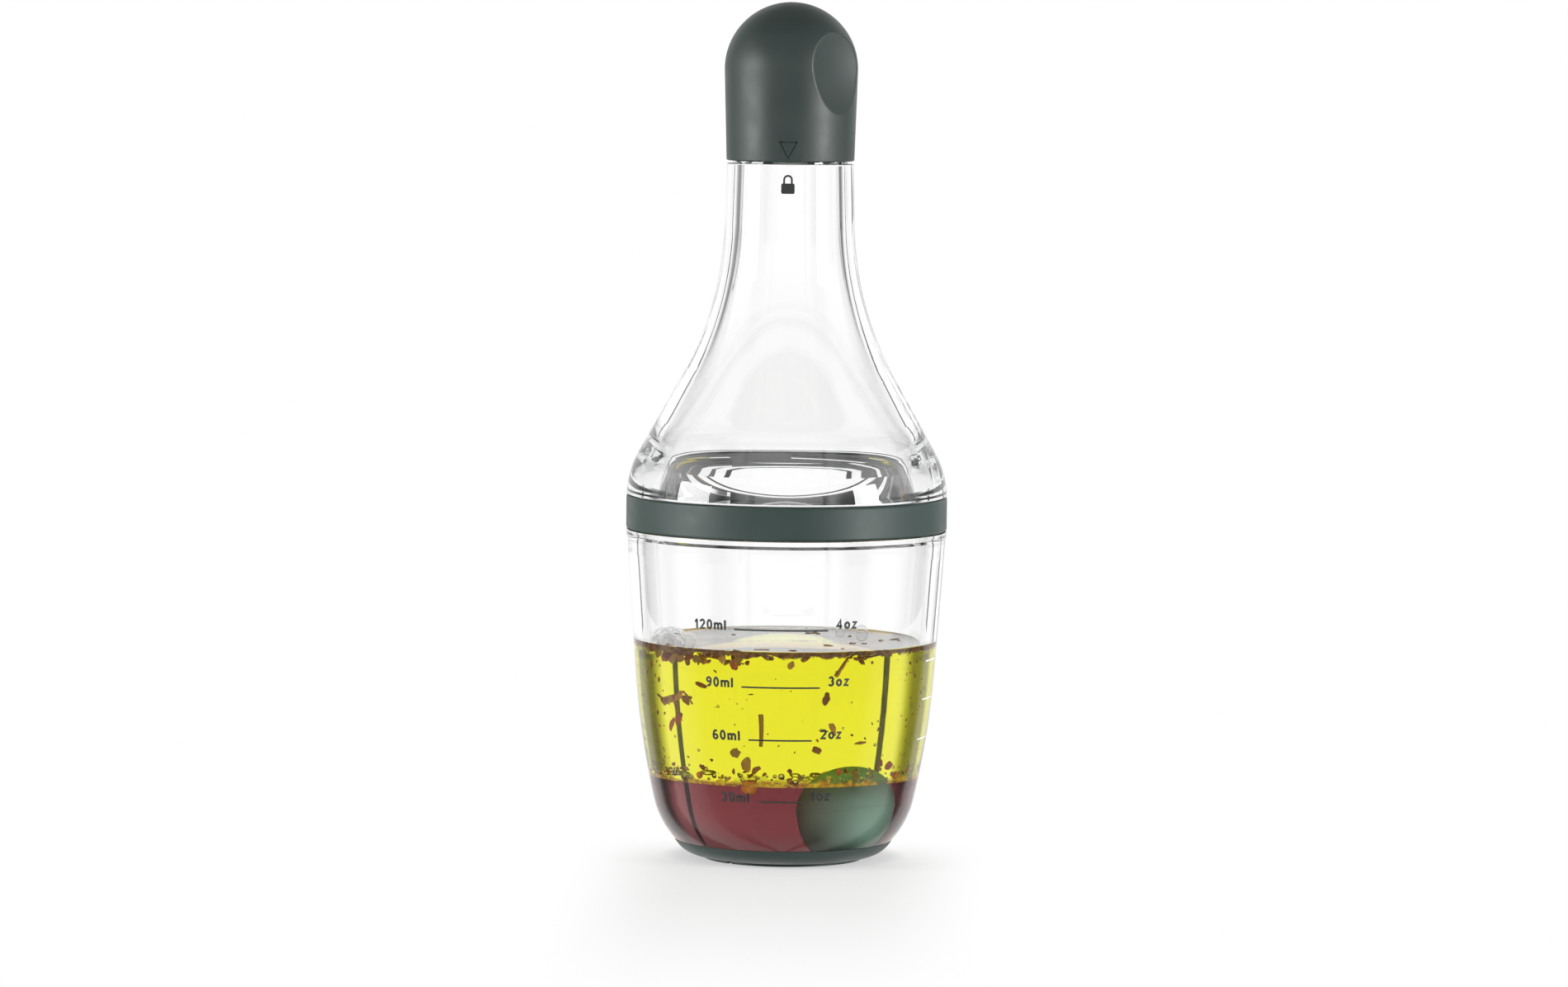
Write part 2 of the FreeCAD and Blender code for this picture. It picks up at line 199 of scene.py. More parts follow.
clearPlastic = {
    "ior": 1.52,
    "tint": (0.72, 0.78, 0.74),
    "density": 9.0,
    "cloud": (45.0, 2.0),
    "cloudSpan": (0.3, 0.75),
    "polish": (0.0, 0.03),
}
wetWall = {
    "top": 48.2 * mm,
    "under": 0.4 * mm,  # below the cup's inner floor
    "skin": 0.9 * mm,  # how deep under the outer face the inner face starts to count
    "steps": 27,
    "widest": 0.05,
}
capPlastic = {
    "colour": (50, 60, 58), "shade": (45, 55, 53), "mottle": 160.0, "roughness": (0.42, 0.5),
    "ior": 1.46, "skin": (5200.0, 2.0), "bump": (0.10, 0.06 * mm),
}
softRubber = {
    "colour": (54, 68, 65), "shade": (48, 62, 59), "mottle": 120.0, "roughness": (0.40, 0.52),
    "ior": 1.43, "skin": (3800.0, 3.0), "bump": (0.12, 0.08 * mm),
}
ballRubber = {
    "colour": (150, 196, 172), "shade": (136, 182, 158), "mottle": 210.0, "roughness": (0.5, 0.65),
    "ior": 1.5, "skin": (3000.0, 3.0), "bump": (0.15, 0.1 * mm),
}
linerPlastic = {
    "colour": (196, 200, 198), "shade": (182, 187, 185), "mottle": 180.0, "roughness": (0.4, 0.5),
    "ior": 1.5, "skin": (3600.0, 2.0), "bump": (0.1, 0.08 * mm),
}
sealRubber = {
    "colour": (190, 197, 194), "shade": (172, 181, 177), "mottle": 140.0, "roughness": (0.55, 0.68),
    "ior": 1.5, "skin": (2800.0, 2.0), "bump": (0.1, 0.08 * mm),
}


def wetInside(finish):  # 1 on the inner face below the dressing's top, where plastic meets liquid and nothing glints
    low = cupTree.ray_cast(up * probe["height"], down)[0].z - wetWall["under"]
    high, last, stops = wetWall["top"], wetWall["steps"], []
    for step in range(last + 1):
        outer = onWall(cupTree, probe["side"], low + (high - low) * step / last, 0)
        grey = (math.hypot(outer.x, outer.y) - wetWall["skin"]) / wetWall["widest"]
        stops.append((step / last, (grey, grey, grey)))
    x, y, z = finish.add("SeparateXYZ", {}, {0: finish.place()}, output=(0, 1, 2))
    radius = finish.reckon("SQRT", x * x + y * y)
    limit = finish.add("ValToRGB", {"stops": stops}, {0: (z - low) * (1 / (high - low))}) * wetWall["widest"]
    within = finish.reckon("GREATER_THAN", z, low) * finish.reckon("LESS_THAN", z, high)
    return finish.reckon("LESS_THAN", radius, limit) * within


def makeClearFinish(name, facts, wet=False):  # for the clear plastic, the dressing and the bubbles in it
    finish = newFinish(name)
    cloud = finish.grain(*facts["cloud"])
    sockets = {
        "Base Color": white,
        "Roughness": finish.ranged(cloud, *facts["cloudSpan"], *facts["polish"]),
        "IOR": facts["ior"],
        "Transmission Weight": 1.0,
    }
    if wet:
        sockets["Alpha"] = 1 - wetInside(finish)
    if "tint" in facts:
        return finish.surface(sockets, {"Color": (*facts["tint"], 1.0), "Density": facts["density"]})
    return finish.surface(sockets)


def makeSolidFinish(name, facts):  # mottled in colour and gloss, with a fine-grained skin
    finish = newFinish(name)
    mottle = finish.grain(facts["mottle"], 4.0)
    skin = finish.grain(*facts["skin"])
    return finish.surface(
        {
            "Base Color": finish.between(mottle, paint(facts["shade"]), paint(facts["colour"])),
            "Roughness": finish.ranged(mottle, *grainSpan, *facts["roughness"]),
            "IOR": facts["ior"],
            "Normal": finish.bump(skin, *facts["bump"]),
        }
    )


nodeFinish = {
    "clear_plastic": makeClearFinish("clearPlastic", clearPlastic, wet=True),
    "dark_silicone": makeSolidFinish("softRubber", softRubber),
    "cap_plastic": makeSolidFinish("capPlastic", capPlastic),
    "liner_plastic": makeSolidFinish("linerPlastic", linerPlastic),
    "seal_silicone": makeSolidFinish("sealRubber", sealRubber),
    "ball_silicone": makeSolidFinish("ballRubber", ballRubber),
}
for row in frame["record"]["subparts"]:
    mesh = nodes[row["node"]].data
    mesh.materials.clear()
    mesh.materials.append(nodeFinish[row["material_slot"]])
print("finishes given to", len(nodes), "bottle pieces")


# The dressing: oil over vinegar, both reaching a little into the wall so that light bends as in one block

dressing = {
    "surface": 47.7 * mm,
    "meniscus": 0.5 * mm,
    "meniscusWidth": 1.3 * mm,
    "ripple": (0.08 * mm, 90.0),  # height, and how many to the metre
    "parting": 19.2 * mm,
    "partingWave": 0.75 * mm,
    "partingWaves": (130.0, 420.0),
    "sides": (1.2 * mm, 2.2 * mm, 40),  # start above the parting, height left out in all, rows
    "bowl": (1.5 * mm, 48),  # the vinegar is measured from this far under the parting, in so many rows
    "intoWall": 0.25 * mm,
    "overlap": 0.05 * mm,
    "skinRise": 0.02 * mm,
    "turns": 192,
    "crease": 50,
}
oilLook = {
    "ior": 1.001,  # the wet plastic round it bends the light
    "tint": (0.9466, 0.9339, 0.0), "density": 62.0,
    "cloud": (300.0, 2.0), "cloudSpan": (0.4, 0.8), "polish": (0.0, 0.004),
}
vinegarLook = {
    "ior": 1.001,
    "tint": (0.46, 0.0, 0.03), "density": 62.0,
    "cloud": (240.0, 3.0), "cloudSpan": (0.3, 0.8), "polish": (0.0, 0.004),
}
oilSkinLook = {"ior": 1.5, "cloud": (160.0, 3.0), "cloudSpan": (0.3, 0.8), "polish": (0.0, 0.02)}


def partingHeight(x, y):
    spot = Vector((x, y, 0.0))
    wide, fine = dressing["partingWaves"]
    wave = noise.noise(spot * wide) + 0.5 * noise.noise(spot * fine)
    return dressing["parting"] + dressing["partingWave"] * wave


def surfaceHeight(x, y):
    gap = max(0.0, insideRadius(dressing["surface"]) - math.hypot(x, y))
    climb = dressing["meniscus"] * math.exp(-gap / dressing["meniscusWidth"])
    depth, scale = dressing["ripple"]
    return dressing["surface"] + climb + depth * noise.noise(Vector((x, y, 0.0)) * scale)


def ringPoints(radius):
    turns = [2 * math.pi * step / dressing["turns"] for step in range(dressing["turns"])]
    return [(radius * math.cos(turn), radius * math.sin(turn)) for turn in turns]


def wallRing(radius, height):
    return [Vector((x, y, height)) for x, y in ringPoints(radius)]


def sheetRings(radius, height, rings=36, crowd=1.4):  # from the wall, where they are close, to the middle
    rows = []
    for ring in range(rings):
        points = ringPoints(radius * (1 - (ring / rings) ** crowd))
        rows.append([Vector((x, y, height(x, y))) for x, y in points])
    return rows


def skinned(rows, low, high):  # rows of points from the bottom's middle to the top's middle, with a point at each end
    work = bmesh.new()
    loops = [[work.verts.new(point) for point in row] for row in rows]
    bridge(work, loops)
    bottom, top = work.verts.new(low), work.verts.new(high)
    count = dressing["turns"]
    for step in range(count):
        after = (step + 1) % count
        work.faces.new((bottom, loops[0][after], loops[0][step]))
        work.faces.new((top, loops[-1][step], loops[-1][after]))
    return work


def makeOil():
    inset = dressing["intoWall"]
    lowest, highest = dressing["parting"], dressing["surface"] + dressing["meniscus"]
    floor = sheetRings(insideRadius(lowest) + inset, lambda x, y: partingHeight(x, y) - dressing["overlap"])
    cover = sheetRings(insideRadius(highest) + inset, surfaceHeight)
    start, less, count = dressing["sides"]
    sides = []
    for step in range(1, count):
        height = lowest + start + (highest - lowest - less) * step / count
        sides.append(wallRing(insideRadius(height) + inset, height))
    rows = floor[::-1] + sides + cover
    low = up * (partingHeight(0, 0) - dressing["overlap"])
    high = up * surfaceHeight(0, 0)
    addPiece("oil", skinned(rows, low, high), makeClearFinish("oliveOil", oilLook), "cup", dressing["crease"])


def makeVinegar():
    inset = dressing["intoWall"]
    under, count = dressing["bowl"]
    eye = up * (dressing["parting"] - under)
    rows = []
    for step in range(1, count):
        dip = -math.pi / 2 * (1 - step / count)
        aim = outward(probe["side"]) * math.cos(dip) + up * math.sin(dip)
        point = cupTree.ray_cast(eye, aim)[0] + aim * inset
        rows.append(wallRing(math.hypot(point.x, point.y), point.z))
    rows += sheetRings(insideRadius(dressing["parting"]) + inset, partingHeight)
    low, high = cupTree.ray_cast(eye, down)[0] + down * inset, up * partingHeight(0, 0)
    look = makeClearFinish("redVinegar", vinegarLook)
    addPiece("vinegar", skinned(rows, low, high), look, "cup", dressing["crease"])


def makeOilSkin():  # the oil's top, the only face of the dressing that bends light by itself
    work, rise = bmesh.new(), up * dressing["skinRise"]
    rings = sheetRings(insideRadius(dressing["surface"] + dressing["meniscus"]), surfaceHeight)
    loops = [[work.verts.new(point + rise) for point in row] for row in rings]
    bridge(work, loops)
    middle, last = work.verts.new(up * surfaceHeight(0, 0) + rise), loops[-1]
    for step in range(dressing["turns"]):
        work.faces.new((last[step], last[(step + 1) % dressing["turns"]], middle))
    addPiece("oilSkin", work, makeClearFinish("oilSkin", oilSkinLook), "cup")


makeVinegar()
makeOil()
makeOilSkin()
print("dressing poured to", round(dressing["surface"] / mm, 1), "mm")


# Herbs, stems, chilli, seeds and bubbles in the dressing. Each is placed by its degrees to the right of the front,
# its height, and its depth behind the wall's inner face. Lengths are in millimetres.

herbs = {
    "flakes": [  # degrees from the front, height, depth, length, width, spin, which pile
        (-49.6, 32.3, 1.2, 3.4, 2.4, 70, "chilli"),
        (-52.5, 36.6, 0.9, 3.4, 2.0, 15, "herb"),
        (-47.6, 37.6, 1.0, 3.0, 1.8, 40, "herb"),
        (-57.5, 35.9, 1.0, 2.6, 1.6, 170, "herb"),
        (-43.6, 36.6, 1.0, 2.6, 1.6, 150, "herb"),
        (-49.6, 34.9, 1.1, 2.6, 1.9, 95, "herb"),
        (-54.2, 31.2, 1.2, 3.2, 1.8, 60, "chilli"),
        (-35.5, 40.3, 1.3, 3.7, 1.1, 168, "herb"),
        (-20.4, 25.9, 2.0, 2.4, 2.1, 20, "herb"),
        (-15.8, 23.7, 2.0, 3.6, 2.7, 82, "herb"),
        (-11.2, 22.4, 1.5, 2.2, 1.4, 35, "herb"),
        (4.6, 45.3, 1.4, 2.0, 1.3, 80, "herb"),
        (10.4, 46.6, 1.4, 2.0, 1.2, 25, "herb"),
        (-4.6, 46.9, 1.2, 2.6, 1.0, 172, "herb"),
        (20.0, 38.0, 1.5, 2.8, 1.7, 82, "herb"),
        (23.8, 31.4, 1.8, 2.9, 1.5, 110, "herb"),
        (16.6, 27.0, 1.6, 2.3, 1.5, 145, "herb"),
        (37.8, 28.2, 1.4, 3.1, 0.7, 4, "herb"),
        (47.0, 31.0, 1.2, 1.2, 0.8, 50, "herb"),
        (56.2, 22.7, 1.0, 2.5, 1.8, 30, "chilli"),
        (50.4, 23.5, 1.0, 1.6, 1.3, 85, "chilli"),
        (-66.0, 43.5, 0.8, 2.0, 1.2, 80, "chilli"),
        (-60.0, 46.4, 1.0, 3.2, 2.2, 30, "herb"),
        (-54.0, 46.2, 1.0, 3.4, 2.4, 10, "chilli"),
        (-50.5, 45.5, 1.1, 3.2, 2.0, 40, "herb"),
        (-46.0, 46.0, 0.9, 3.0, 2.2, 150, "herb"),
        (-41.0, 46.1, 1.0, 2.8, 1.7, 20, "chilli"),
        (-36.5, 45.8, 1.0, 2.4, 1.5, 165, "herb"),
        (-24.5, 46.6, 0.9, 3.0, 2.0, 75, "herb"),
        (-19.6, 45.2, 1.0, 2.6, 1.8, 95, "chilli"),
        (-17.0, 46.5, 0.9, 2.8, 1.8, 30, "herb"),
    ],
    "stems": [  # from and to, each in degrees and height, then depth and thickness
        ((-8.6, 34.5), (-8.8, 27.6), 3.0, 1.1),
        ((23.6, 42.8), (29.0, 46.9), 1.2, 1.0),
        ((-60.0, 36.2), (-40.5, 37.4), 1.0, 0.9),
        ((-51.5, 37.6), (-48.0, 33.4), 1.1, 0.9),
        ((-45.0, 38.6), (-40.0, 36.0), 0.9, 0.6),
        ((-62.5, 37.2), (-54.0, 35.4), 0.9, 0.6),
        ((-33.0, 46.8), (-15.0, 45.4), 0.9, 0.5),
        ((32.5, 46.3), (47.5, 47.4), 0.9, 0.5),
    ],
    "drifts": [  # degrees, heights, depths, count, lengths, lying flat
        ((-63, -13), (45.0, 47.5), (0.4, 4.0), 46, (0.8, 2.5), False),
        ((31, 49), (45.7, 47.5), (0.4, 3.0), 12, (0.7, 2.0), False),
        ((-84, -56), (22.0, 47.0), (0.3, 1.0), 60, (0.4, 1.3), False),
        ((60, 84), (22.0, 47.0), (0.3, 0.9), 40, (0.4, 1.1), False),
        ((-78, 78), (19.9, 22.4), (0.3, 3.5), 60, (0.5, 1.8), False),
        ((-80, 80), (24.0, 46.0), (0.5, 9.0), 22, (0.3, 0.9), False),
        ((-180, 180), (47.0, 47.7), (1.5, 27.0), 30, (0.7, 2.4), True),
        ((78, 282), (19.9, 21.2), (0.3, 5.0), 50, (0.4, 1.2), False),
        ((84, 276), (24.0, 46.0), (0.6, 4.0), 16, (0.3, 0.9), False),
        ((60, 276), (46.4, 47.5), (0.4, 3.0), 30, (0.4, 1.2), False),
    ],
    "seeds": [  # degrees, height, depth, size
        (-14.6, 18.6, 0.35, 3.4), (63.0, 20.4, 0.6, 1.8), (-40.0, 20.6, 0.5, 1.5), (172.0, 20.5, 0.6, 2.6),
    ],
    "bubbles": [  # degrees, heights, depths, count, sizes
        ((-78, 78), (19.8, 21.6), (0.5, 2.2), 60, (0.4, 1.5)),
        ((-180, 180), (46.6, 47.3), (0.7, 3.0), 60, (0.3, 1.0)),
        ((-70, 70), (22.0, 46.0), (0.8, 9.0), 26, (0.25, 0.8)),
        ((78, 282), (19.8, 21.6), (0.5, 3.0), 60, (0.4, 1.5)),
    ],
    "floating": [  # to the right of the middle, behind it, length, width, spin
        (5.4, 18.5, 3.4, 1.9, 20), (6.6, 16.8, 2.2, 1.4, 120), (-4.2, -20.5, 4.0, 1.3, 5),
        (2.4, -20.8, 3.6, 1.2, 170), (9.6, -9.0, 2.4, 1.0, 150), (23.6, 6.0, 4.2, 2.6, 40),
        (21.4, 3.4, 2.6, 1.6, 100), (25.2, 3.0, 2.4, 1.5, 70), (12.8, -16.0, 1.8, 0.9, 60),
        (-12.0, 12.0, 1.8, 1.0, 15), (14.0, 12.0, 1.6, 0.9, 80),
    ],
    "froth": [  # degrees, distance from the wall, size of a bubble that floats on the oil
        (-84, 2.8, 4.6), (-75, 4.4, 5.6), (-66, 3.2, 4.2), (-93, 5.6, 4.0), (-97, 2.6, 3.4),
        (-57, 3.2, 2.8), (-82, 8.6, 3.0), (140, 3.5, 3.0), (152, 4.5, 2.2),
    ],
}
herbColours = [
    (0.0, (104, 62, 16)), (0.3, (162, 98, 28)), (0.55, (150, 116, 40)), (0.8, (204, 146, 66)), (1.0, (176, 88, 28)),
]
chilliColours = [(0.0, (108, 42, 8)), (0.5, (146, 64, 12)), (1.0, (206, 110, 30))]
seedColours = [(0.0, (226, 128, 34)), (1.0, (246, 166, 62))]
herbSkin = {"veins": (1400.0, 4.0), "share": (0.75, 0.4, -0.08), "roughness": (0.55, 0.8), "bump": (0.4, 0.2 * mm)}
flakeShape = {"corners": 12, "tilt": 0.3, "curl": 0.35, "ragged": (0.75, 1.2), "edge": 0.5, "thick": 0.16}
stemShape = {"sides": 8, "steps": 7, "bow": 0.08, "taper": 0.35, "knots": (0.85, 1.1)}
driftShape = {"clear": (0.25, 0.2), "lean": 0.1, "chilli": 0.18, "width": (0.35, 0.8), "thick": 0.12}
floatShape = {"lean": (0.05, -0.1, 1), "thick": 0.3}
seedShape = {"fine": 3, "lumpy": 0.16, "lumps": (900, 300)}
frothShape = {"fine": 3, "sunk": 0.12, "wall": 0.16}
bubbleLook = {"ior": 1.5, "cloud": (700.0, 2.0), "cloudSpan": (0.4, 0.8), "polish": (0.0, 0.03)}
bubbleClear = 0.15  # between a bubble and the wall
herbCrease = 40


def makeHerbFinish(name, colours):  # each flake has its own tone, with veins and a rough dry skin
    finish = newFinish(name)
    tone = finish.add("NewGeometry", output="Random Per Island")
    veins = finish.grain(*herbSkin["veins"])
    ofTone, ofVeins, base = herbSkin["share"]
    stops = [(place, paint(colour)[:3]) for place, colour in colours]
    return finish.surface(
        {
            "Base Color": finish.add("ValToRGB", {"stops": stops}, {0: tone * ofTone + veins * ofVeins + base}),
            "Roughness": finish.ranged(veins, *grainSpan, *herbSkin["roughness"]),
            "Normal": finish.bump(veins, *herbSkin["bump"]),
        }
    )


def inDressing(azimuth, height, depth):
    return outward(azimuth) * (insideRadius(height * mm) - depth * mm) + up * (height * mm)


def addFlake(work, place, out, long, wide, spin, thick=flakeShape["thick"]):
    side = Vector((-out.y, out.x, 0)) if abs(out.z) < 0.7 else Vector((1, 0, 0))
    facing = Matrix((side, out.cross(side), out)).transposed() @ Matrix.Rotation(math.radians(spin), 3, "Z")
    facing = facing @ Matrix.Rotation(dice.uniform(-flakeShape["tilt"], flakeShape["tilt"]), 3, "X")
    curl, count, rows = dice.uniform(-flakeShape["curl"], flakeShape["curl"]), flakeShape["corners"], []
    ragged = [dice.uniform(*flakeShape["ragged"]) for _ in range(count)]
    for scale, rise in ((flakeShape["edge"], -1), (1.0, 0), (flakeShape["edge"], 1)):
        row = []
        for step in range(count):
            angle = 2 * math.pi * step / count
            x = long / 2 * math.cos(angle) * ragged[step] * scale
            y = wide / 2 * math.sin(angle) * ragged[step] * scale
            z = curl * x * x / long * 2 + thick / 2 * rise
            row.append(work.verts.new(place + facing @ Vector((x, y, z)) * mm))
        rows.append(row)
    bridge(work, rows)
    work.faces.new(rows[0][::-1])
    work.faces.new(rows[-1])


def addStem(work, start, end, thick):
    way = (end - start).normalized()
    across = way.cross(outward(30)).normalized()
    beside, rows = way.cross(across), []
    bow = dice.uniform(-stemShape["bow"], stemShape["bow"]) * (end - start).length
    turns = [2 * math.pi * i / stemShape["sides"] for i in range(stemShape["sides"])]
    for step in range(stemShape["steps"]):
        share = step / (stemShape["steps"] - 1)
        middle = start.lerp(end, share) + beside * bow * math.sin(math.pi * share)
        radius = thick * mm / 2 * (1.0 - stemShape["taper"] * share) * dice.uniform(*stemShape["knots"])
        ring = [(across * math.cos(turn) + beside * math.sin(turn)) * radius for turn in turns]
        rows.append([work.verts.new(middle + point) for point in ring])
    bridge(work, rows)
    work.faces.new(rows[0][::-1])
    work.faces.new(rows[-1])


def addDrop(work, place, size, fine=2, inside=False, lumpy=0.0):
    made = bmesh.ops.create_icosphere(work, subdivisions=fine, radius=size * mm / 2)["verts"]
    small, large = seedShape["lumps"]
    for vert in made:
        vert.co = place + vert.co * (1 + lumpy * noise.noise(vert.co * small + place * large))
    if inside:  # a bubble's wall faces the air in it
        bmesh.ops.reverse_faces(work, faces=list({face for vert in made for face in vert.link_faces}))


def leaning(lean):  # nearly level, as a flake lies on the oil
    return Vector((dice.uniform(-lean, lean), dice.uniform(-lean, lean), 1)).normalized()


def addDrift(piles, azimuths, heights, depths, lengths, flat):
    azimuth, long = dice.uniform(*azimuths), dice.uniform(*lengths)
    clear, share = driftShape["clear"]
    depth = max(dice.uniform(*depths), clear + share * long)
    out = leaning(driftShape["lean"]) if flat else outward(azimuth)
    place = inDressing(azimuth, dice.uniform(*heights), depth)
    pile = piles["chilli" if dice.random() < driftShape["chilli"] else "herb"]
    wide, spin = long * dice.uniform(*driftShape["width"]), dice.uniform(0, 180)
    addFlake(pile, place, out, long, wide, spin, driftShape["thick"])


def makeHerbs():
    piles = {"herb": bmesh.new(), "chilli": bmesh.new(), "seed": bmesh.new()}
    for azimuth, height, depth, long, wide, spin, pile in herbs["flakes"]:
        addFlake(piles[pile], inDressing(azimuth, height, depth), outward(azimuth), long, wide, spin)
    for (fromAzimuth, fromHeight), (toAzimuth, toHeight), depth, thick in herbs["stems"]:
        ends = inDressing(fromAzimuth, fromHeight, depth), inDressing(toAzimuth, toHeight, depth)
        addStem(piles["herb"], *ends, thick)
    for azimuths, heights, depths, count, lengths, flat in herbs["drifts"]:
        for _ in range(count):
            addDrift(piles, azimuths, heights, depths, lengths, flat)
    for east, north, long, wide, spin in herbs["floating"]:
        place = Vector((east * mm, north * mm, dressing["surface"]))
        addFlake(piles["herb"], place, Vector(floatShape["lean"]).normalized(), long, wide, spin, floatShape["thick"])
    for azimuth, height, depth, size in herbs["seeds"]:
        place = inDressing(azimuth, height, depth + size / 2)
        addDrop(piles["seed"], place, size, seedShape["fine"], lumpy=seedShape["lumpy"])
    addPiece("herbs", piles["herb"], makeHerbFinish("driedHerb", herbColours), "cup", herbCrease)
    addPiece("chilli", piles["chilli"], makeHerbFinish("chilliFlake", chilliColours), "cup", herbCrease)
    addPiece("seeds", piles["seed"], makeHerbFinish("softSeed", seedColours), "cup", herbCrease)


def makeBubbles():
    work = bmesh.new()
    for azimuths, heights, depths, count, (least, most) in herbs["bubbles"]:
        for _ in range(count):
            size = least + (most - least) * dice.random() ** 2
            depth = max(dice.uniform(*depths), size / 2 + bubbleClear)
            addDrop(work, inDressing(dice.uniform(*azimuths), dice.uniform(*heights), depth), size, inside=True)
    for azimuth, depth, size in herbs["froth"]:
        place = inDressing(azimuth, dressing["surface"] / mm + size * frothShape["sunk"], depth)
        addDrop(work, place, size, frothShape["fine"])
        addDrop(work, place, size - frothShape["wall"], frothShape["fine"], inside=True)
    addPiece("bubbles", work, makeClearFinish("airBubble", bubbleLook), "cup")


films = [  # name, from its thick to its thin side, how far it covers, colours
    ("scum", (48.1, 45.9), 1.05, ((84, 50, 8), (140, 92, 18))),
    ("emulsion", (18.7, 22.4), 0.62, ((200, 130, 8), (244, 212, 42))),
]
filmLook = {
    "rows": 8,
    "offWall": 0.12 * mm,
    "blotch": (260.0, 5.0, 0.65),
    "speck": (900.0, 3.0),
    "speckSpan": (0.35, 0.65),
    "roughness": (0.4, 0.7),
    "thinCover": 0.1,
    "patchy": 1.6,
    "edge": (0.42, 0.6),
    "back": (-0.005, 0.02, 1.0, 0.4),  # it is thinner at the back, from and to, with its share at each
}


def makeFilm(name, heights, cover, colours):  # fine herb dust and froth that clings to the wall, thinning out one way
    thick, thin = (height * mm for height in heights)
    work, rows, last = bmesh.new(), [], filmLook["rows"]
    for step in range(last + 1):
        height = thick + (thin - thick) * step / last
        ring = wallRing(insideRadius(height) - filmLook["offWall"], height)
        rows.append([work.verts.new(point) for point in ring])
    bridge(work, rows)
    finish = newFinish(name)
    blotch, speck = finish.grain(*filmLook["blotch"]), finish.grain(*filmLook["speck"])
    north, level = finish.add("SeparateXYZ", {}, {0: finish.place()}, output=(1, 2))
    ends = {"From Min": thick, "From Max": thin, "To Min": cover, "To Max": filmLook["thinCover"]}
    along = finish.add("MapRange", {}, {"Value": level, **ends})
    patches = finish.ranged(along + (blotch - 0.5) * filmLook["patchy"], *filmLook["edge"])
    tones = (paint(colour) for colour in colours)
    look = finish.surface(
        {
            "Base Color": finish.between(finish.ranged(speck, *filmLook["speckSpan"]), *tones),
            "Roughness": finish.ranged(blotch, *grainSpan, *filmLook["roughness"]),
            "Alpha": patches * finish.ranged(north, *filmLook["back"]),
        }
    )
    addPiece(name, work, look, "cup")


makeHerbs()
makeBubbles()
for film in films:
    makeFilm(*film)
print("herbs, bubbles and films mixed in")


# Printed scale, side ticks and lock sign, laid on the walls

scalePrint = {
    "marks": [  # height, half length of the line, millilitres, ounces
        (53.0 * mm, 10.2 * mm, "120ml", "4oz"),
        (40.6 * mm, 8.5 * mm, "90ml", "3oz"),
        (29.1 * mm, 6.85 * mm, "60ml", "2oz"),
        (15.5 * mm, 4.7 * mm, "30ml", "1oz"),
    ],
    "azimuth": 0.4,
    "line": 0.36 * mm,
    "gap": 1.85 * mm,
    "digit": 2.1 * mm,
    "boldness": 0.24,
    "spacing": 0.2,
    "stretch": 1.1,
    "drop": (-0.2 * mm, 0.35 * mm),  # of the millilitres and the ounces, from the line
    "lift": 0.03 * mm,
}
sideTicks = {"heights": (44.7, 36.3, 27.5), "azimuths": (69.0, 84.0), "line": 0.35 * mm}
lockPrint = {
    "azimuth": 0.0,
    "body": (1.46 * mm, 145.7 * mm, 147.95 * mm),  # half its width, foot and top
    "shackle": (0.84 * mm, 0.42 * mm, 148.75 * mm),  # radius, stroke, and where its bow starts
    "lift": 0.03 * mm,
}
lockShape = {"edge": 0.99, "cut": 0.25 * mm, "dip": 0.1 * mm, "steps": 16}
darkInk = {
    "shade": (38, 42, 41), "colour": (50, 54, 52), "mottle": 1500.0, "roughness": (0.42, 0.6),
    "ior": 1.5, "skin": (6000.0, 2.0), "bump": (0.1, 0.03 * mm),
}
paleInk = {**darkInk, "shade": (226, 229, 226), "colour": (206, 211, 207)}


def bend(middle, radii, start, end, steps=14):  # points on an arc, for a letter's stroke
    turns = [math.radians(start + (end - start) * i / steps) for i in range(steps + 1)]
    return [(middle[0] + radii[0] * math.cos(t), middle[1] + radii[1] * math.sin(t)) for t in turns]


letters = {  # width and strokes, for a digit that is 1 tall
    "0": (0.56, [bend((0.28, 0.5), (0.2, 0.42), 0, 360, 24)]),
    "1": (0.40, [[(0.04, 0.70), (0.20, 0.76), (0.28, 0.92)], [(0.28, 1.0), (0.28, 0.0)]]),
    "2": (0.56, [bend((0.28, 0.69), (0.2, 0.23), 175, -38) + [(0.10, 0.08), (0.53, 0.08)]]),
    "3": (0.56, [bend((0.27, 0.71), (0.18, 0.21), 160, -80), bend((0.27, 0.30), (0.2, 0.22), 85, -160)]),
    "4": (0.58, [[(0.40, 0.0), (0.40, 0.93), (0.07, 0.29), (0.56, 0.29)]]),
    "6": (0.56, [bend((0.28, 0.30), (0.2, 0.22), 0, 360, 24), bend((0.31, 0.42), (0.23, 0.5), 190, 55)]),
    "9": (0.56, [bend((0.28, 0.70), (0.2, 0.22), 0, 360, 24), bend((0.25, 0.58), (0.23, 0.5), 10, -125)]),
    "m": (0.84, [[(0.08, 0.0), (0.08, 0.72)], bend((0.25, 0.47), (0.17, 0.17), 180, 0) + [(0.42, 0.0)],
                 bend((0.59, 0.47), (0.17, 0.17), 180, 0) + [(0.76, 0.0)]]),
    "l": (0.16, [[(0.08, 0.0), (0.08, 1.0)]]),
    "o": (0.58, [bend((0.29, 0.36), (0.2, 0.28), 0, 360, 24)]),
    "z": (0.50, [[(0.04, 0.65), (0.42, 0.65), (0.06, 0.08), (0.47, 0.08)]]),
}


def ribbon(work, rows):  # faces between pairs of corners
    for before, after in zip(rows, rows[1:]):
        work.faces.new((before[0], after[0], after[1], before[1]))


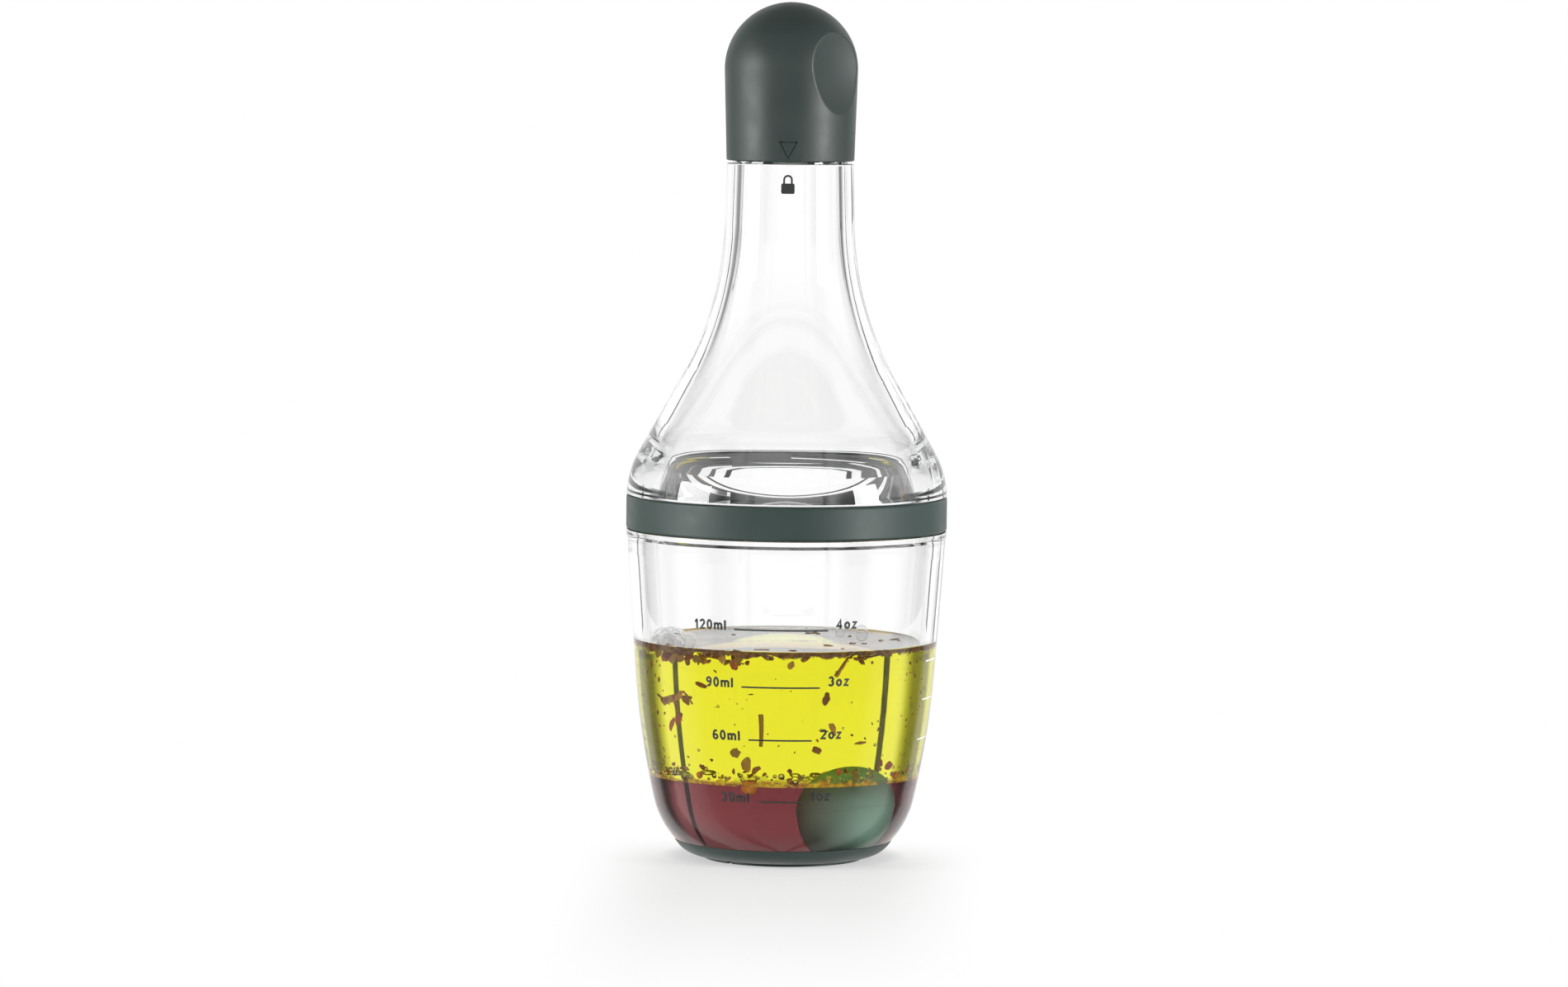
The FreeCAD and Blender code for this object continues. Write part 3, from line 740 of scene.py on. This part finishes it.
def stroked(work, path, thick):  # a flat ribbon along a path of points
    points = [Vector((x, y, 0)) for x, y in path]
    closed = (points[0] - points[-1]).length < 1e-6 * thick
    if closed:
        points.pop()
    rows = []
    for i, point in enumerate(points):
        before = points[i - 1] if closed or i else point
        after = points[(i + 1) % len(points)] if closed or i + 1 < len(points) else point
        along = [way.normalized() for way in (point - before, after - point) if way.length > 0]
        way = sum(along, Vector()).normalized()
        reach = thick / 2 / max(0.6, way.dot(along[0]))  # a sharp turn gets no long point
        side = Vector((-way.y, way.x, 0)) * reach
        rows.append((work.verts.new(point - side), work.verts.new(point + side)))
    ribbon(work, rows + rows[:1] if closed else rows)


def textShape(words, digit):  # flat mesh of some words, with its left end at 0 and its digits this tall
    work, start = bmesh.new(), 0.0
    for letter in words:
        wide, strokes = letters[letter]
        for path in strokes:
            placed = [((start + x) * digit * scalePrint["stretch"], y * digit) for x, y in path]
            stroked(work, placed, scalePrint["boldness"] * digit)
        start += wide + scalePrint["spacing"]
    return work


def strip(left, right, middle, thick, steps=40):
    work = bmesh.new()
    rows = []
    for step in range(steps + 1):
        x = left + (right - left) * step / steps
        rows.append([work.verts.new((x, middle + side * thick / 2, 0)) for side in (-1, 1)])
    ribbon(work, rows)
    return work


def laidOn(tree, flat, azimuth, height, lift, target):  # bends a flat shape round the wall and adds it to target
    middle = onWall(tree, azimuth, height, 0)
    radius = math.hypot(middle.x, middle.y)
    copies = {}
    for vert in flat.verts:
        turn = azimuth + math.degrees(vert.co.x / radius)
        copies[vert] = target.verts.new(onWall(tree, turn, height + vert.co.y, lift))
    for face in flat.faces:
        target.faces.new([copies[vert] for vert in face.verts])
    flat.free()


def makeScalePrint():
    facts = scalePrint
    work = bmesh.new()
    for height, half, millilitres, ounces in facts["marks"]:
        laidOn(cupTree, strip(-half, half, 0, facts["line"]), facts["azimuth"], height, facts["lift"], work)
        for words, side, drop in ((millilitres, -1, facts["drop"][0]), (ounces, 1, facts["drop"][1])):
            flat = textShape(words, facts["digit"])
            wide = max(v.co.x for v in flat.verts)
            start = half + facts["gap"] if side > 0 else -half - facts["gap"] - wide
            for vert in flat.verts:
                vert.co.x += start
            laidOn(cupTree, flat, facts["azimuth"], height + drop, facts["lift"], work)
    addPiece("scalePrint", work, makeSolidFinish("scaleInk", darkInk), "cup")


def makeSideTicks():
    work = bmesh.new()
    near, far = sideTicks["azimuths"]
    middle = (near + far) / 2
    for height in sideTicks["heights"]:
        half = insideRadius(height * mm) * math.radians(far - near) / 2
        laidOn(cupTree, strip(-half, half, 0, sideTicks["line"], 16), middle, height * mm, scalePrint["lift"], work)
    addPiece("sideTicks", work, makeSolidFinish("paleInk", paleInk), "cup")


def makeLockPrint():
    half, low, high = lockPrint["body"]
    work = bmesh.new()
    body = strip(-half, half, (low + high) / 2 - low, high - low, 12)
    for vert in body.verts:  # corners cut back a little
        if abs(vert.co.x) > half * lockShape["edge"]:
            vert.co.y += math.copysign(lockShape["cut"], (high - low) / 2 - vert.co.y)
    laidOn(neckTree, body, lockPrint["azimuth"], low, lockPrint["lift"], work)
    radius, stroke, spring = lockPrint["shackle"]
    foot, last = high - lockShape["dip"], lockShape["steps"]
    turns = [math.pi * i / last for i in range(last + 1)]
    path = [(-radius, foot)]
    path += [(-radius * math.cos(turn), spring + radius * math.sin(turn)) for turn in turns]
    path += [(radius, foot)]
    hoop = bmesh.new()
    stroked(hoop, [(x, y - low) for x, y in path], stroke)
    laidOn(neckTree, hoop, lockPrint["azimuth"], low, lockPrint["lift"], work)
    addPiece("lockPrint", work, makeSolidFinish("lockInk", darkInk), "neck")


makeScalePrint()
makeSideTicks()
makeLockPrint()
print("prints laid on the walls")


# Floor, light and camera

floorLook = {
    "colour": (240, 240, 239),
    "shade": (236, 236, 235),
    "mottle": (40.0, 4.0),
    "roughness": 0.9,
    "share": 0.45,  # how much of the white covers the floor's lit shade where the painted shadow zone is deepest
    # reach, sides, back and contact shape a painted shadow zone, a streak in front of the bottle and a ring round its
    # foot, where the floor's own lit shade shows through the white
    "reach": (0.06, 0.24),
    "sides": (0.018, 0.046),
    "back": (-0.02, 0.035),
    "contactShadowRing": (0.022, 0.032),
    "size": 0.3,
    "squares": 24,
}
roomLook = {
    "ambient": (0.68, 0.46),  # light on the solid surfaces, from the sides and from above
    "ambientFrom": (0.1, 0.8),
    "glow": 1.06,  # brightness of the wall behind, which loses some at each clear surface
    "corner": (40, 52, 66, 74),  # degrees to each side of the middle of a wall
    "cornerDark": (0.78, 0.88),  # left and right
    "cornerSides": (-0.3, 0.3),
    "cornerFoot": (-0.25, -0.16),  # the corners and gaps fade out towards the floor
    "gap": (33.6, 1.2, 1.6),  # degrees: middle of a narrow dark gap, its half width, and with its soft edge
    "gapDark": 0.93,
    "roofFrom": (0.2, 0.6),
    "roofThrough": 0.4,
    "roofMirrored": 0.2,
    "mirroredFrom": (0.35, 0.85),
    "frontMirrored": 0.12,  # the side towards the camera
    "frontFrom": (-0.6, 0.4),
}
lampList = [  # name, place, aim, width, height, watts
    ("leftPanel", (-0.77, -0.31, 0.19), (0, 0, 0.12), 0.40, 0.34, 6.2),
    ("rightPanel", (0.66, -0.37, 0.19), (0, 0, 0.12), 0.26, 0.34, 5.4),
]
view = {
    "distance": 1.5,
    "height": 0.19645,
    "azimuth": 2.0,
    "pitch": 4.4452,
    "roll": 0.6283,
    "aside": 3.387,
    "focal": 8349.7,  # in pixels of a picture this wide
    "wide": 1900,
    "sensor": 36.0,
    "clip": (0.05, 20.0),
}
bounces = 24  # light goes many times through the walls


def makeFloor():
    work, squares = bmesh.new(), floorLook["squares"]
    bmesh.ops.create_grid(work, x_segments=squares, y_segments=squares, size=floorLook["size"])
    mesh = bpy.data.meshes.new("floor")
    work.to_mesh(mesh)
    work.free()
    finish = newFinish("paleFloor")
    mottle = finish.grain(*floorLook["mottle"])
    shade = finish.add("BsdfPrincipled", {}, {
        "Base Color": finish.between(mottle, paint(floorLook["shade"]), paint(floorLook["colour"])),
        "Roughness": floorLook["roughness"],
    })
    glow = finish.add("Emission", {}, {"Color": white, "Strength": 1.0})
    place = finish.place()
    east, north = finish.add("SeparateXYZ", {}, {0: place}, output=(0, 1))
    reach = finish.add("VectorMath", {"operation": "LENGTH"}, {0: place}, output=1)
    # painted shadow: grey shows only in a drawn streak in front of the bottle and a ring round its foot; inside them
    # the floor's diffuse shade carries the bottle's real shadow, elsewhere white emission covers it
    paintedShadowStreak = finish.ranged(abs(east), *floorLook["sides"], 1.0, 0.0)
    paintedShadowStreak = paintedShadowStreak * finish.ranged(north, *floorLook["back"], 1.0, 0.0)
    paintedShadowStreak = paintedShadowStreak * finish.ranged(reach, *floorLook["reach"], 1.0, 0.0)
    shadow = finish.reckon("MAXIMUM", paintedShadowStreak, finish.ranged(reach, *floorLook["contactShadowRing"], 1.0, 0.0))
    share = 1 - shadow * (1 - floorLook["share"])
    camera, mirrored, through = finish.rays()
    blend = finish.add("MixShader", {}, {0: (camera + mirrored + through) * share, 1: shade, 2: glow})
    finish.endWith({"Surface": blend})
    mesh.materials.append(finish.owner)
    floor = bpy.data.objects.new("floor", mesh)
    floor.visible_glossy = False
    bpy.context.scene.collection.objects.link(floor)


def makeRoom():  # white walls with dark corners, gaps and roof, which only the clear walls and the gloss show
    world = bpy.data.worlds.new("room")
    bpy.context.scene.world = world
    room = Finish(world)
    east, north, upward = room.add("SeparateXYZ", {}, {0: room.add("TexCoord")}, output=(0, 1, 2))
    turn = room.reckon("PINGPONG", room.reckon("ARCTAN2", east, north), math.pi / 2)
    start, full, fade, end = (math.radians(angle) for angle in roomLook["corner"])
    dark = room.ranged(east, *roomLook["cornerSides"], *roomLook["cornerDark"])
    low = room.ranged(upward, *roomLook["cornerFoot"])
    front = room.ranged(north, *roomLook["frontFrom"], 1.0, 0.0)
    centre, half, soft = (math.radians(angle) for angle in roomLook["gap"])
    gap = room.ranged(abs(turn - centre), half, soft, roomLook["gapDark"], 0.0)
    corner = room.ranged(turn, start, full) * room.ranged(turn, fade, end, 1.0, 0.0) * dark
    roof = room.ranged(upward, *roomLook["roofFrom"], roomLook["glow"], roomLook["roofThrough"])
    behind = (1 - corner * low) * (1 - gap * low) * roof
    above = room.ranged(upward, *roomLook["mirroredFrom"], 1.0, roomLook["roofMirrored"])
    above = above * (1 - front * (1 - roomLook["frontMirrored"])) * (1 - corner)
    plain = room.ranged(upward, *roomLook["ambientFrom"], *roomLook["ambient"])
    camera, mirrored, through = room.rays()
    strength = camera + mirrored * above + through * behind + (1 - camera - mirrored - through) * plain
    light = room.add("Background", {}, {"Color": white, "Strength": strength})
    room.endWith({"Surface": light})


def makeLamps():
    for name, place, aim, width, height, watts in lampList:
        lamp = bpy.data.lights.new(name, "AREA")
        lamp.shape, lamp.size, lamp.size_y, lamp.energy = "RECTANGLE", width, height, watts
        holder = bpy.data.objects.new(name, lamp)
        holder.location = place
        holder.visible_camera = holder.visible_transmission = False  # or the panel shows through the clear walls
        holder.rotation_mode = "QUATERNION"
        holder.rotation_quaternion = (Vector(aim) - Vector(place)).to_track_quat("-Z", "Y")
        bpy.context.scene.collection.objects.link(holder)


def makeCamera():
    data = bpy.data.cameras.new("camera")
    data.sensor_width = view["sensor"]
    data.lens = view["focal"] * view["sensor"] / view["wide"]
    data.clip_start, data.clip_end = view["clip"]
    camera = bpy.data.objects.new("camera", data)
    bpy.context.scene.collection.objects.link(camera)
    spin = Matrix.Rotation(math.radians(view["azimuth"]), 4, "Z")
    tip = Matrix.Rotation(math.radians(90 - view["pitch"]), 4, "X")
    yaw = Matrix.Rotation(view["aside"] / view["focal"], 4, "Y")
    lean = Matrix.Rotation(math.radians(view["roll"]), 4, "Z")
    camera.matrix_world = spin @ Matrix.Translation((0, -view["distance"], view["height"])) @ tip @ yaw @ lean
    bpy.context.scene.camera = camera


makeFloor()
makeRoom()
makeLamps()
makeCamera()
cycles = bpy.context.scene.cycles
cycles.max_bounces = cycles.transmission_bounces = cycles.glossy_bounces = bounces
bpy.context.scene.view_settings.view_transform = "Standard"
print("floor, light and camera set")
